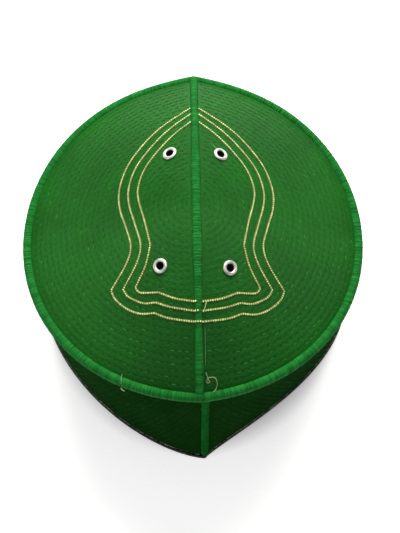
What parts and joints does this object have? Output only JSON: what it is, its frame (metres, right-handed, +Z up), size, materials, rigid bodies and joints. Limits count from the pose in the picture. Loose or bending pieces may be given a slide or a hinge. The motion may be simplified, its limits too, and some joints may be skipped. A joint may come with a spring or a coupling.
{
  "type": "kufi",
  "caption": "Stiff quilted kufi cap: a creased crown with a gold outline motif and eyelets, side walls, corded seams and a bound hem.",
  "frame": {"origin": "on the surface that the cap stands on, at the middle of its box", "axes": "+Z up through the crown, -Y to the front seam of the cap, +X to the right as seen from the front"},
  "size_m": [0.1799, 0.2051, 0.1197],
  "materials": {
    "quilted_cloth": "matt green cotton, machine quilted",
    "satin_cord": "green satin stitch over a cord, soft sheen",
    "hem_tape": "matt black cotton tape",
    "eyelet_metal": "white metal, lightly polished"
  },
  "bodies": {
    "root": {"crown_left": "quilted_cloth", "crown_right": "quilted_cloth", "side_left": "quilted_cloth", "side_right": "quilted_cloth", "ridge_cord": "satin_cord", "rim_cord": "satin_cord", "front_cord": "satin_cord", "back_cord": "satin_cord", "hem_binding": "hem_tape", "eyelet_back_left": "eyelet_metal", "eyelet_back_right": "eyelet_metal", "eyelet_front_left": "eyelet_metal", "eyelet_front_right": "eyelet_metal"}
  },
  "joints": []
}
